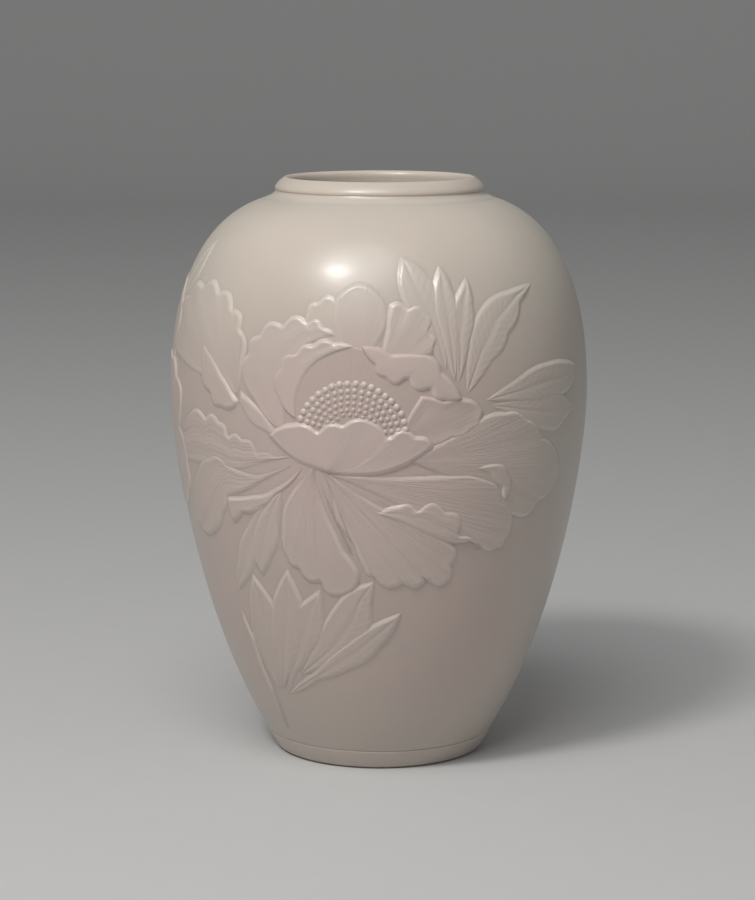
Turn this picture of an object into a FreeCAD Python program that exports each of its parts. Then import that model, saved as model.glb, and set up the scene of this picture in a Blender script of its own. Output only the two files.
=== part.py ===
import FreeCAD, Part
import math
import os
import Sketcher

# A meiping vase of glazed porcelain: a ring foot, a lower and an upper body luted
# together at the belly, a rolled mouth ring, and a peony spray laid on in thin clay.
# Lengths are in millimetres, +Z is up, the foot stands on z = 0 and the flower faces -Y.

doc = FreeCAD.newDocument("meiping_vase")

# Driving sizes

SIZES = [
    ("height", "250"),
    ("wall", "4.5"),
    ("foot_contact_radius", "43.5"),
    ("foot_bevel_radius", "45.5"),
    ("foot_bevel_height", "1.2"),
    ("foot_top_radius", "49.5"),
    ("foot_height", "9"),
    ("foot_bore_radius", "38"),
    ("line_depth", "0.4"),
    ("line_width", "0.5"),
    ("base_recess", "5"),
    ("floor_thickness", "7"),
    ("heel_inset", "4"),
    ("belly_radius", "89.9"),
    ("neck_wall", "6"),
    ("throat_radius", "38.5"),
    ("mouth_height", "9"),
    ("crest_width", "3"),
    ("waist_width", "6.2"),
    ("ledge_width", "9.9"),
    ("neck_step", "1"),
    ("cove_round", "3.8"),
    ("lip_round", "3.8"),
    ("bloom_turn", "-8"),
    ("low_layer", "0.9"),
    ("mid_layer", "1.4"),
    ("high_layer", "2.0"),
    ("top_layer", "2.7"),
]

# Where the poles of the wall's curves sit, as shares of each curve's own reach, and
# where the belly and the flower sit, as shares of the height
CURVE_SHARES = [
    ("belly_rise_share", "0.636"),
    ("swell_reach_share", "0.69"),
    ("swell_rise_share", "0.31"),
    ("belly_hold_share", "0.205"),
    ("shoulder_hold_share", "0.895"),
    ("neck_reach_share", "0.077"),
    ("neck_drop_share", "0.037"),
    ("slab_start_share", "0.45"),
    ("bloom_rise_share", "0.548"),
    ("bloom_size_share", "0.24"),
]

# Sizes that follow from the ones above
DERIVED = [
    ("belly_height", "=height * belly_rise_share"),
    ("bloom_height", "=height * bloom_rise_share"),
    ("bloom_size", "=height * bloom_size_share"),
    ("crest_radius", "=throat_radius + crest_width"),
    ("waist_radius", "=throat_radius + waist_width"),
    ("ledge_radius", "=throat_radius + ledge_width"),
    ("neck_radius", "=ledge_radius + neck_step"),
    ("floor_top", "=base_recess + floor_thickness"),
    ("line_height", "=foot_height - line_width"),
    ("line_radius", "=foot_top_radius - line_depth"),
    ("heel_radius", "=foot_top_radius - heel_inset"),
    ("belly_inner_radius", "=belly_radius - wall"),
    ("neck_height", "=height - mouth_height"),
    ("swell_radius", "=foot_top_radius + (belly_radius - foot_top_radius) * swell_reach_share"),
    ("swell_height", "=foot_height + (belly_height - foot_height) * swell_rise_share"),
    ("swell_inner_radius", "=swell_radius - wall"),
    ("belly_low_height", "=belly_height - (belly_height - foot_height) * belly_hold_share"),
    ("shoulder_height", "=belly_height + (neck_height - belly_height) * shoulder_hold_share"),
    ("shoulder_inner_height", "=shoulder_height - wall"),
    ("neck_pole_radius", "=neck_radius + (belly_radius - neck_radius) * neck_reach_share"),
    ("neck_pole_height", "=neck_height - (neck_height - belly_height) * neck_drop_share"),
    ("neck_inner_height", "=neck_height - neck_wall"),
    ("neck_inner_pole_height", "=neck_pole_height - neck_wall"),
    ("cove_height", "=neck_height + cove_round"),
    ("cove_end_height", "=cove_height - sqrt(cove_round ^ 2 - (ledge_radius - waist_radius) ^ 2)"),
    ("lip_height", "=height - lip_round"),
    ("lip_start_height", "=lip_height - sqrt(lip_round ^ 2 - (waist_radius - crest_radius) ^ 2)"),
    ("throat_top_height", "=height - (crest_radius - throat_radius)"),
    ("slab_start", "=belly_radius * slab_start_share"),
    ("slab_length", "=belly_radius - slab_start + 2 * top_layer"),
]


def make_sheet():
    """Keep every size in one spreadsheet, one named cell a row."""
    sheet = doc.addObject("Spreadsheet::Sheet", "Sizes")
    for row, (name, content) in enumerate(SIZES + CURVE_SHARES + DERIVED, start=1):
        sheet.set("A%d" % row, name)
        sheet.set("B%d" % row, content)
        sheet.setAlias("B%d" % row, name)
    doc.recompute()
    return sheet


sheet = make_sheet()


def size(name):
    """The value of a named size."""
    return float(sheet.get(name))


# Turned pieces: a closed section in the XZ plane, revolved about the Z axis


def hold_radius(sketch, index, end, radius):
    """Hold a point of the section at a named distance from the axis, or on it."""
    if radius is None:
        sketch.addConstraint(Sketcher.Constraint("PointOnObject", index, end, -2))
        return
    rule = Sketcher.Constraint("DistanceX", -1, 1, index, end, size(radius))
    number = sketch.addConstraint(rule)
    sketch.setExpression("Constraints[%d]" % number, "Sizes." + radius)


def hold_level(sketch, index, end, level):
    """Hold a point of the section at a named height, or on the ground."""
    if level is None:
        sketch.addConstraint(Sketcher.Constraint("PointOnObject", index, end, -1))
        return
    rule = Sketcher.Constraint("DistanceY", -1, 1, index, end, size(level))
    number = sketch.addConstraint(rule)
    sketch.setExpression("Constraints[%d]" % number, "Sizes." + level)


def hold(sketch, index, end, radius, level):
    """Tie a line's end, a curve's pole or an arc's centre to two named sizes."""
    hold_radius(sketch, index, end, radius)
    hold_level(sketch, index, end, level)


def spot(radius, level):
    """A point of the section, from the names of its radius and height."""
    across = 0.0 if radius is None else size(radius)
    up = 0.0 if level is None else size(level)
    return FreeCAD.Vector(across, up, 0)


def add_curve(sketch, start, poles, end):
    """A cubic curve from start to end whose two middle poles are named sizes too."""
    names = [start] + poles + [end]
    curve = Part.BSplineCurve()
    curve.buildFromPolesMultsKnots([spot(*name) for name in names], [4, 4], [0, 1], False, 3)
    index = sketch.addGeometry(curve, False)
    sketch.exposeInternalGeometry(index)
    for offset, name in enumerate(names, start=1):
        hold(sketch, index + offset, 3, *name)
    return index


def add_line(sketch, start, end):
    """A straight side of the section."""
    index = sketch.addGeometry(Part.LineSegment(spot(*start), spot(*end)), False)
    hold(sketch, index, 1, *start)
    hold(sketch, index, 2, *end)
    return index


def add_arc(sketch, start, centre, end, turning):
    """A round side about a named centre; turning is 1 where it runs anticlockwise."""
    middle = spot(*centre)
    ends = [spot(*start), spot(*end)]
    angles = [math.atan2(point.y - middle.y, point.x - middle.x) for point in ends]
    first, last = angles if turning > 0 else reversed(angles)
    circle = Part.Circle(middle, FreeCAD.Vector(0, 0, 1), (ends[0] - middle).Length)
    index = sketch.addGeometry(Part.ArcOfCircle(circle, first, last), False)
    first_end, last_end = (1, 2) if turning > 0 else (2, 1)
    hold(sketch, index, 3, *centre)
    hold(sketch, index, first_end, *start)
    reach = ends[1] - middle
    if abs(reach.x) < abs(reach.y):
        hold_radius(sketch, index, last_end, end[0])
    else:
        hold_level(sketch, index, last_end, end[1])
    return index


def turned_body(label, corners, curves=None, arcs=None):
    """Revolve a section: its corners in order, the poles of its free curves, and the
    centres of its arcs."""
    curves = curves or {}
    arcs = arcs or {}
    body = doc.addObject("PartDesign::Body", label)
    plane = [item for item in body.Origin.OriginFeatures if item.Role == "XZ_Plane"][0]
    sketch = body.newObject("Sketcher::SketchObject", label + "_section")
    sketch.AttachmentSupport = [(plane, "")]
    sketch.MapMode = "FlatFace"
    for number, start in enumerate(corners):
        end = corners[(number + 1) % len(corners)]
        if number in curves:
            add_curve(sketch, start, curves[number], end)
        elif number in arcs:
            add_arc(sketch, start, arcs[number][0], end, arcs[number][1])
        else:
            add_line(sketch, start, end)
    turn = body.newObject("PartDesign::Revolution", label + "_turn")
    turn.Profile = sketch
    turn.ReferenceAxis = (sketch, ["V_Axis"])
    turn.Angle = 360
    body.Tip = turn
    return body


def foot_ring():
    """The ring the vase stands on, bevelled below, with the incised line at its top."""
    return turned_body("foot_ring", [
        ("foot_bore_radius", None),
        ("foot_contact_radius", None),
        ("foot_bevel_radius", "foot_bevel_height"),
        ("foot_top_radius", "line_height"),
        ("line_radius", "foot_height"),
        ("foot_bore_radius", "foot_height"),
    ])


def lower_body():
    """The lower half with its floor, which drops into the foot ring."""
    return turned_body("lower_body", [
        (None, "base_recess"),
        ("foot_bore_radius", "base_recess"),
        ("foot_bore_radius", "foot_height"),
        ("foot_top_radius", "foot_height"),
        ("belly_radius", "belly_height"),
        ("belly_inner_radius", "belly_height"),
        ("heel_radius", "floor_top"),
        (None, "floor_top"),
    ], {
        3: [("swell_radius", "swell_height"), ("belly_radius", "belly_low_height")],
        5: [("belly_inner_radius", "belly_low_height"), ("swell_inner_radius", "swell_height")],
    })


def upper_body():
    """The shoulder, from the seam at the belly up to the neck."""
    return turned_body("upper_body", [
        ("belly_inner_radius", "belly_height"),
        ("belly_radius", "belly_height"),
        ("neck_radius", "neck_height"),
        ("throat_radius", "neck_height"),
        ("throat_radius", "neck_inner_height"),
    ], {
        1: [("belly_radius", "shoulder_height"), ("neck_pole_radius", "neck_pole_height")],
        4: [("neck_pole_radius", "neck_inner_pole_height"),
            ("belly_inner_radius", "shoulder_inner_height")],
    })


def mouth_ring():
    """The rolled lip on its low neck, with a hollow cove above the shoulder."""
    return turned_body("mouth_ring", [
        ("throat_radius", "neck_height"),
        ("ledge_radius", "neck_height"),
        ("waist_radius", "cove_end_height"),
        ("waist_radius", "lip_start_height"),
        ("crest_radius", "height"),
        ("throat_radius", "throat_top_height"),
    ], arcs={
        1: (("ledge_radius", "cove_height"), -1),
        3: (("crest_radius", "lip_height"), 1),
        4: (("crest_radius", "throat_top_height"), 1),
    })


# Relief: clay rolled to a layer, cut to an outline, laid on the wall and trimmed
# under whatever lies over it. The uppermost pieces come first.

# An outline's points run clockwise: how far each lies across and up from the flower's
# centre, as shares of the flower's size, and how far the side that follows it bows out,
# as a share of that side
RELIEF = {
    "curled_petal": {"layer": "top_layer", "outline_shares": [
        (0.08, 0.85, 0.08), (0.29, 0.81, 0.02), (0.52, 0.81, 0.14), (0.65, 0.67, 0.08),
        (0.8, 0.47, 0.15), (0.65, 0.45, 0.22), (0.54, 0.53, 0.25), (0.39, 0.6, 0.28),
        (0.24, 0.61, 0.22), (0.16, 0.71, 0.1)]},
    "cup_petal": {"layer": "top_layer", "outline_shares": [
        (-0.16, -0.03, 0.1), (-0.6, 0.21, 0.12), (-0.39, 0.32, 0.15), (-0.21, 0.28, 0.2),
        (-0.04, 0.33, 0.16), (0.16, 0.36, 0.12), (0.27, 0.25, 0.28), (0.46, 0.25, 0.22),
        (0.6, 0.15, 0.13)]},
    "ribbon_petal": {"layer": "top_layer", "outline_shares": [
        (-0.2, -0.07, -0.01), (-0.05, -0.18, -0.03), (0.21, -0.27, 0.06), (0.34, -0.23, 0.24),
        (0.48, -0.26, 0.3), (0.69, -0.28, 0.25), (0.84, -0.4, 0.2), (0.82, -0.46, 0.12),
        (0.98, -0.53, 0.08), (0.68, -0.53, 0.03), (0.38, -0.4, 0.02), (0.09, -0.28, 0.02),
        (-0.1, -0.16, 0.02)]},
    "left_inner_petal": {"layer": "high_layer", "outline_shares": [
        (-0.35, 0.33, 0.12), (-0.52, 0.47, 0.22), (-0.51, 0.69, 0.26), (-0.39, 0.8, 0.24),
        (-0.26, 0.86, 0.22), (-0.1, 0.88, 0.15), (0.08, 0.82, -0.04), (-0.14, 0.75, -0.1),
        (-0.31, 0.58, -0.08)]},
    "right_cup_petal": {"layer": "high_layer", "outline_shares": [
        (0.27, 0.13, 0.04), (0.48, 0.53, 0.04), (0.65, 0.49, 0.08), (0.81, 0.49, 0.12),
        (0.93, 0.42, 0.22), (0.94, 0.33, 0.22), (0.86, 0.24, 0.14), (0.71, 0.19, 0.08),
        (0.56, 0.14, 0.03)]},
    "stamen_bed": {"layer": "mid_layer", "outline_shares": [
        (0.03, 0.17, 0), (-0.31, 0.24, 0.04), (-0.33, 0.4, 0.1), (-0.21, 0.56, 0.1),
        (0.03, 0.62, 0.12), (0.25, 0.54, 0.12), (0.38, 0.27, 0.1)]},
    "left_middle_petal": {"layer": "mid_layer", "outline_shares": [
        (-0.54, 0.25, 0.08), (-0.71, 0.43, 0.08), (-0.82, 0.58, 0.22), (-0.78, 0.76, 0.26),
        (-0.69, 0.9, 0.28), (-0.5, 0.98, 0.28), (-0.31, 1.01, 0.28), (-0.17, 0.98, 0.24),
        (-0.08, 0.88, -0.1), (-0.33, 0.81, -0.1), (-0.47, 0.57, -0.05)]},
    "left_outer_petal": {"layer": "low_layer", "outline_shares": [
        (-0.39, 0.11, 0.08), (-0.61, 0.22, 0.12), (-0.8, 0.36, 0.18), (-0.82, 0.52, 0),
        (-0.61, 0.38, 0)]},
    "heart_petal": {"layer": "low_layer", "outline_shares": [
        (0.01, 0.13, 0.02), (-0.35, 0.3, 0.08), (-0.3, 0.58, 0.1), (-0.14, 0.76, 0.1),
        (0.09, 0.82, 0.1), (0.29, 0.68, 0.08), (0.51, 0.53, 0.05), (0.39, 0.23, 0.02)]},
    "guard_left_fold": {"layer": "high_layer", "outline_shares": [
        (-0.42, -0.03, 0.12), (-0.54, -0.22, 0.12), (-0.67, -0.32, 0.12), (-0.86, -0.38, 0.05),
        (-0.98, -0.47, 0.08), (-1.03, -0.36, 0.12), (-1.02, -0.25, -0.03),
        (-0.75, -0.21, -0.08), (-0.56, -0.14, -0.05)]},
    "bottom_left_petal": {"layer": "high_layer", "outline_shares": [
        (-0.29, -0.05, -0.02), (-0.13, -0.37, 0.02), (-0.04, -0.57, 0.05), (0.07, -0.72, 0.24),
        (-0.1, -0.92, 0.26), (-0.26, -0.83, 0.24), (-0.43, -0.74, 0.16), (-0.52, -0.68, 0.1),
        (-0.55, -0.47, 0.05), (-0.5, -0.26, 0.05)]},
    "bottom_right_petal": {"layer": "mid_layer", "outline_shares": [
        (-0.22, -0.07, 0), (0.22, -0.24, 0), (0.65, -0.46, 0.05), (0.81, -0.57, 0.14),
        (0.78, -0.7, 0.16), (0.77, -0.82, 0.26), (0.58, -0.81, 0.26), (0.39, -0.83, 0.26),
        (0.16, -0.78, 0.2), (0.08, -0.71, 0.04), (0.01, -0.54, 0), (-0.12, -0.38, -0.02)]},
    "guard_right_fold": {"layer": "high_layer", "outline_shares": [
        (0.47, -0.03, 0), (0.67, -0.06, -0.06), (0.88, 0, 0.06), (1.07, 0.03, 0.16),
        (1.19, -0.06, 0.14), (1.22, -0.19, 0.14), (1.14, -0.28, 0.1), (1.1, -0.17, 0.06),
        (0.99, -0.07, -0.1), (0.84, -0.04, -0.03), (0.67, -0.08, 0.03)]},
    "guard_left_low": {"layer": "mid_layer", "outline_shares": [
        (-0.42, 0.01, 0), (-0.75, -0.19, 0.02), (-0.99, -0.28, 0.06), (-1.09, -0.42, 0.12),
        (-1.35, -0.61, 0.14), (-1.53, -0.54, 0.14), (-1.57, -0.38, 0.1), (-1.4, -0.14, 0.12),
        (-1.19, 0.01, 0.2), (-0.97, -0.02, -0.05), (-0.69, -0.06, -0.02)]},
    "guard_left_high": {"layer": "low_layer", "outline_shares": [
        (-0.39, 0.06, 0), (-0.85, -0.07, 0), (-1.53, -0.09, 0.08), (-1.6, 0.09, 0.1),
        (-1.41, 0.3, 0.2), (-1.19, 0.29, 0.26), (-1.03, 0.28, 0.26), (-0.94, 0.19, 0.26),
        (-0.81, 0.18, 0.26), (-0.68, 0.1, 0.1), (-0.54, 0.08, 0)]},
    "guard_right_low": {"layer": "mid_layer", "outline_shares": [
        (-0.18, -0.03, 0), (0.48, -0.03, 0), (0.84, -0.03, 0.02), (1.06, -0.1, 0.1),
        (1.16, -0.26, 0.16), (1.28, -0.42, 0.14), (1.24, -0.55, 0.22), (1.15, -0.62, 0.22),
        (0.98, -0.57, 0.1), (0.56, -0.37, 0)]},
    "guard_right_high": {"layer": "low_layer", "outline_shares": [
        (0.37, 0.06, 0.02), (0.68, 0.23, 0.02), (0.94, 0.36, 0.06), (1.12, 0.38, 0.14),
        (1.31, 0.32, 0.12), (1.5, 0.16, 0.1), (1.73, -0.01, 0.14), (1.74, -0.19, 0.16),
        (1.53, -0.32, 0.16), (1.35, -0.42, 0.08), (1.02, -0.24, 0)]},
    "back_centre_petal": {"layer": "mid_layer", "outline_shares": [
        (0.05, 0.66, 0.03), (-0.13, 0.97, 0.06), (-0.13, 1.16, 0.33), (0.25, 1.15, 0.1),
        (0.27, 0.95, 0.05)]},
    "back_right_petal": {"layer": "mid_layer", "outline_shares": [
        (0.16, 0.61, 0), (0.24, 0.95, 0.05), (0.27, 1.12, 0.25), (0.41, 1.11, 0.3),
        (0.55, 1.07, 0.26), (0.58, 0.94, 0.26), (0.61, 0.83, 0.2), (0.54, 0.75, 0.05)]},
    "back_left_petal": {"layer": "low_layer", "outline_shares": [
        (-0.07, 0.66, 0.05), (-0.3, 0.93, 0.2), (-0.34, 1.05, 0.26), (-0.25, 1.14, 0.26),
        (-0.1, 1.16, 0.1), (0.01, 0.93, 0)]},
    "top_leaf_centre": {"layer": "mid_layer", "outline_shares": [
        (0.73, 0.58, 0.04), (0.61, 0.94, 0.07), (0.59, 1.22, 0.05), (0.68, 1.38, 0.1),
        (0.78, 1.2, 0.07), (0.8, 0.97, 0.05)]},
    "top_leaf_left": {"layer": "low_layer", "outline_shares": [
        (0.67, 0.65, 0.04), (0.42, 1.02, 0.06), (0.33, 1.23, 0.05), (0.37, 1.44, 0.1),
        (0.59, 1.3, 0.07), (0.68, 1.07, 0.04)]},
    "top_leaf_right": {"layer": "low_layer", "outline_shares": [
        (0.75, 0.58, 0), (0.72, 0.93, 0.04), (0.77, 1.16, 0.02), (0.89, 1.3, 0.1),
        (0.93, 1.09, 0.08), (0.88, 0.86, 0.05)]},
    "upper_right_leaf": {"layer": "mid_layer", "outline_shares": [
        (0.81, 0.51, 0.04), (0.88, 0.82, 0.1), (0.94, 1.05, 0.1), (1.23, 1.19, 0.03),
        (1.57, 1.22, 0), (1.35, 1.07, 0.1), (1.2, 0.88, 0.1), (1.05, 0.71, 0.03)]},
    "right_leaf_low": {"layer": "low_layer", "outline_shares": [
        (0.97, 0.42, 0.02), (1.32, 0.47, 0.04), (1.62, 0.47, 0.06), (1.91, 0.34, 0.16),
        (1.77, 0.23, 0.14), (1.57, 0.17, 0.05), (1.23, 0.28, 0)]},
    "right_leaf_high": {"layer": "low_layer", "outline_shares": [
        (0.94, 0.45, 0.02), (1.27, 0.62, 0.06), (1.54, 0.68, 0.06), (1.95, 0.63, 0.12),
        (1.9, 0.47, 0.1), (1.62, 0.41, 0.04), (1.23, 0.4, 0)]},
    "small_leaf_right": {"layer": "mid_layer", "outline_shares": [
        (-0.5, -0.16, 0.05), (-0.54, -0.43, 0.08), (-0.63, -0.67, 0.03), (-0.77, -0.84, 0.05),
        (-0.85, -0.68, 0.06), (-0.78, -0.44, 0.08)]},
    "small_leaf_left": {"layer": "low_layer", "outline_shares": [
        (-0.61, -0.24, 0.03), (-0.71, -0.54, 0.03), (-0.85, -0.79, 0.06), (-1.11, -0.99, 0.1),
        (-1.03, -0.72, 0.08), (-0.86, -0.45, 0.08)]},
    "low_leaf_centre": {"layer": "mid_layer", "outline_shares": [
        (-0.86, -1.7, 0), (-0.85, -1.3, 0.03), (-0.72, -0.97, 0.03), (-0.52, -0.71, 0.03),
        (-0.41, -0.95, 0.06), (-0.44, -1.26, 0.05)]},
    "low_leaf_left": {"layer": "low_layer", "outline_shares": [
        (-0.86, -1.69, 0.08), (-1.03, -1.44, 0.06), (-0.97, -1.12, 0.04), (-0.84, -0.8, 0.05),
        (-0.72, -0.98, 0.06), (-0.73, -1.28, 0)]},
    "low_leaf_right": {"layer": "low_layer", "outline_shares": [
        (-0.82, -1.68, 0), (-0.52, -1.26, 0.02), (-0.41, -0.97, 0), (-0.25, -0.84, 0.06),
        (-0.24, -1.1, 0.1), (-0.38, -1.35, 0.05), (-0.59, -1.54, 0)]},
    "far_leaf_lower": {"layer": "mid_layer", "outline_shares": [
        (-0.81, -1.73, 0.05), (-0.44, -1.5, 0.03), (-0.08, -1.24, 0.02), (0.17, -1.09, 0.03),
        (0.41, -1.01, 0.07), (0.24, -1.29, 0.08), (-0.05, -1.48, 0.04), (-0.38, -1.59, 0.05)]},
    "far_leaf_upper": {"layer": "low_layer", "outline_shares": [
        (-0.56, -1.54, 0), (-0.21, -1.2, 0.03), (-0.01, -0.89, 0.08), (0.18, -0.78, 0.04),
        (0.14, -0.97, 0.04), (0.1, -1.15, 0.06), (-0.13, -1.35, 0)]},
    "main_stem": {"layer": "mid_layer", "outline_shares": [
        (-1.02, -2.04, 0), (-1.06, -1.72, 0.02), (-1.09, -1.33, 0.02), (-1.12, -1.07, 0),
        (-1.03, -1.32, -0.02), (-0.99, -1.71, 0)]},
    "side_petal_lower": {"layer": "high_layer", "outline_shares": [
        (-1.23, 0.78, 0.08), (-0.99, 0.61, 0.04), (-0.82, 0.42, 0.22), (-1.01, 0.35, 0.26),
        (-1.14, 0.44, 0.2), (-1.26, 0.61, 0.12)]},
    "side_petal_cup": {"layer": "high_layer", "outline_shares": [
        (-1.86, 0, 0.05), (-2.2, 0.18, 0.18), (-2.3, 0.42, 0.26), (-2.12, 0.6, 0.26),
        (-1.88, 0.64, 0.26), (-1.68, 0.52, 0.26), (-1.56, 0.3, 0.12)]},
    "side_petal_upper": {"layer": "mid_layer", "outline_shares": [
        (-0.84, 0.46, 0), (-1.42, 0.58, 0), (-1.8, 0.66, 0.12), (-1.84, 0.92, 0.22),
        (-1.66, 1.1, 0.26), (-1.42, 1.18, 0.26), (-1.16, 1.16, 0.26), (-0.96, 1.06, 0.26),
        (-0.84, 0.92, 0.2), (-0.79, 0.7, 0.05)]},
    "side_petal_back": {"layer": "low_layer", "outline_shares": [
        (-1.95, 0.3, 0), (-2.42, 0.42, 0.12), (-2.62, 0.66, 0.26), (-2.6, 0.92, 0.26),
        (-2.4, 1.12, 0.26), (-2.12, 1.18, 0.26), (-1.86, 1.08, 0.2), (-1.72, 0.82, 0.04)]},
    "side_petal_low": {"layer": "low_layer", "outline_shares": [
        (-1.86, 0.3, 0), (-1.6, 0.12, 0.1), (-1.54, -0.12, 0.24), (-1.66, -0.34, 0.26),
        (-1.9, -0.44, 0.26), (-2.16, -0.36, 0.26), (-2.38, -0.16, 0.24), (-2.44, 0.1, 0.08)]},
    "side_leaf": {"layer": "low_layer", "outline_shares": [
        (-1.82, 1.02, 0.06), (-1.92, 1.24, 0.05), (-1.6, 1.5, 0.1), (-1.58, 1.2, 0.05)]},
}

# From the uppermost piece down
LAID_ORDER = [
    "curled_petal", "cup_petal", "ribbon_petal", "left_inner_petal", "right_cup_petal",
    "stamen_bed", "left_middle_petal", "left_outer_petal", "heart_petal",
    "guard_left_fold", "bottom_left_petal", "bottom_right_petal", "guard_right_fold",
    "guard_left_low", "guard_left_high", "guard_right_low", "guard_right_high",
    "back_centre_petal", "back_right_petal", "back_left_petal",
    "top_leaf_centre", "top_leaf_left", "top_leaf_right", "upper_right_leaf",
    "right_leaf_low", "right_leaf_high", "small_leaf_right", "small_leaf_left",
    "low_leaf_centre", "low_leaf_left", "low_leaf_right", "far_leaf_lower",
    "far_leaf_upper", "main_stem", "side_petal_lower", "side_petal_cup",
    "side_petal_upper", "side_petal_back", "side_petal_low", "side_leaf",
]
STRAIGHT_SHARE = 0.005
WALL_STEP_COUNT = 400


def wall_edges(offset):
    """The outer wall's two curves, moved out by an offset."""
    lower = [
        ("foot_top_radius", "foot_height"),
        ("swell_radius", "swell_height"),
        ("belly_radius", "belly_low_height"),
        ("belly_radius", "belly_height"),
    ]
    upper = [
        ("belly_radius", "belly_height"),
        ("belly_radius", "shoulder_height"),
        ("neck_pole_radius", "neck_pole_height"),
        ("neck_radius", "neck_height"),
    ]
    edges = []
    for names in (lower, upper):
        curve = Part.BezierCurve()
        places = [(size(radius) + offset, size(level)) for radius, level in names]
        curve.setPoles([FreeCAD.Vector(across, 0, up) for across, up in places])
        edges.append(curve.toShape())
    return edges


def clay_layer(name):
    """All the clay of one thickness that the wall could carry, with its seam at the back."""
    inner = wall_edges(0)
    outer = wall_edges(size(name))
    bottom = Part.makeLine(inner[0].Vertexes[0].Point, outer[0].Vertexes[0].Point)
    top = Part.makeLine(outer[1].Vertexes[-1].Point, inner[1].Vertexes[-1].Point)
    section = Part.Face(Part.Wire([inner[0], inner[1], top, outer[1], outer[0], bottom]))
    band = doc.addObject("Part::Feature", name)
    band.Shape = section.revolve(FreeCAD.Vector(0, 0, 0), FreeCAD.Vector(0, 0, 1), 360)
    band.Placement = FreeCAD.Placement(FreeCAD.Vector(0, 0, 0),
                                       FreeCAD.Rotation(FreeCAD.Vector(0, 0, 1), 90))
    return band


def wall_places():
    """Places up the outer wall, as heights and radii."""
    places = [edge.discretize(Number=WALL_STEP_COUNT) for edge in wall_edges(0)]
    lower, upper = places
    return [(place.z, place.x) for place in lower + upper[1:]]


def wall_radius(level):
    """The outer wall's radius at a height."""
    for (low, first), (high, last) in zip(WALL_PLACES, WALL_PLACES[1:]):
        if low <= level <= high:
            return first + (last - first) * (level - low) / (high - low)
    raise ValueError("no wall at this height")


def bowed_side(start, end, bow):
    """A side of an outline: a line, or an arc that bows out by a share of its length."""
    if abs(bow) < STRAIGHT_SHARE:
        return Part.makeLine(start, end)
    along = end - start
    crest = (start + end) / 2 + FreeCAD.Vector(-along.y, along.x, 0) * bow
    return Part.Arc(start, crest, end).toShape()


def add_outline(name):
    """The outline as a face that stands upright in front of its place on the wall."""
    rows = RELIEF[name]["outline_shares"]
    scale = size("bloom_size")
    turn = sum(across for across, rise, bow in rows) / len(rows) * scale / size("belly_radius")
    points = []
    for across, rise, bow in rows:
        level = size("bloom_height") + rise * scale
        angle = across * scale / size("belly_radius") - turn
        points.append(FreeCAD.Vector(wall_radius(level) * math.sin(angle), level, 0))
    ends = points[1:] + points[:1]
    bows = [bow for across, rise, bow in rows]
    edges = [bowed_side(*side) for side in zip(points, ends, bows)]
    outline = doc.addObject("Part::Feature", name + "_outline")
    outline.Shape = Part.Face(Part.Wire(edges))
    upright = FreeCAD.Rotation(FreeCAD.Vector(1, 0, 0), 90)
    facing = FreeCAD.Rotation(FreeCAD.Vector(0, 0, 1), size("bloom_turn") + math.degrees(turn))
    outward = facing.multVec(FreeCAD.Vector(0, -1, 0))
    outline.Placement = FreeCAD.Placement(outward * size("slab_start"), facing.multiply(upright))
    return outline, outward, RELIEF[name]["layer"]


def add_relief(name, layers, above):
    """One laid piece: its slab within its layer, less the pieces over it."""
    outline, outward, layer = add_outline(name)
    slab = doc.addObject("Part::Extrusion", name + "_slab")
    slab.Base = outline
    slab.DirMode = "Custom"
    slab.Dir = outward
    slab.setExpression("LengthFwd", "Sizes.slab_length")
    slab.Solid = True
    piece = doc.addObject("Part::Common", name + "_laid")
    piece.Base = slab
    piece.Tool = layers[layer]
    doc.recompute()
    box = piece.Shape.BoundBox
    for number, (upper, upper_box) in enumerate(above):
        if not box.intersect(upper_box):
            continue
        if not piece.Shape.common(upper.Shape).Solids:
            continue
        trimmed = doc.addObject("Part::Cut", "%s_trim_%d" % (name, number))
        trimmed.Base = piece
        trimmed.Tool = upper
        doc.recompute()
        piece = trimmed
    above.append((slab, box))
    if len(piece.Shape.Solids) > 1:
        piece = main_piece(piece)
    piece.Label = name
    return piece


def main_piece(trimmed):
    """The largest part that the pieces above leave of a piece; the scraps go."""
    kept = doc.addObject("Part::Feature", trimmed.Name + "_main")
    kept.Shape = max(trimmed.Shape.Solids, key=lambda solid: solid.Volume)
    return kept


def check_build(pieces):
    """Stop before anything is written if an object or a piece did not build."""
    for item in doc.Objects:
        if "Invalid" in item.State or "Error" in item.State:
            raise RuntimeError(item.Name + " did not build")
    for piece in pieces:
        if piece.Shape.isNull() or not piece.Shape.isValid():
            raise RuntimeError(piece.Label + " has no sound shape")
        if len(piece.Shape.Solids) != 1:
            raise RuntimeError(piece.Label + " is not one solid")


def write_pieces(pieces):
    """Write each piece to its own file."""
    os.makedirs("parts", exist_ok=True)
    for piece in pieces:
        piece.Shape.exportStep("parts/%s.step" % piece.Label)


layer_names = ["low_layer", "mid_layer", "high_layer", "top_layer"]
vessel = [foot_ring(), lower_body(), upper_body(), mouth_ring()]
doc.recompute()
layers = {name: clay_layer(name) for name in layer_names}
WALL_PLACES = wall_places()
above = []
relief = [add_relief(name, layers, above) for name in LAID_ORDER]
doc.recompute()
check_build(vessel + relief)
write_pieces(vessel + relief)
print(len(vessel + relief), "pieces written")
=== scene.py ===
import math
import bisect
import bpy
import bmesh
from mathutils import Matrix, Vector, geometry, noise
from mathutils.kdtree import KDTree


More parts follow.
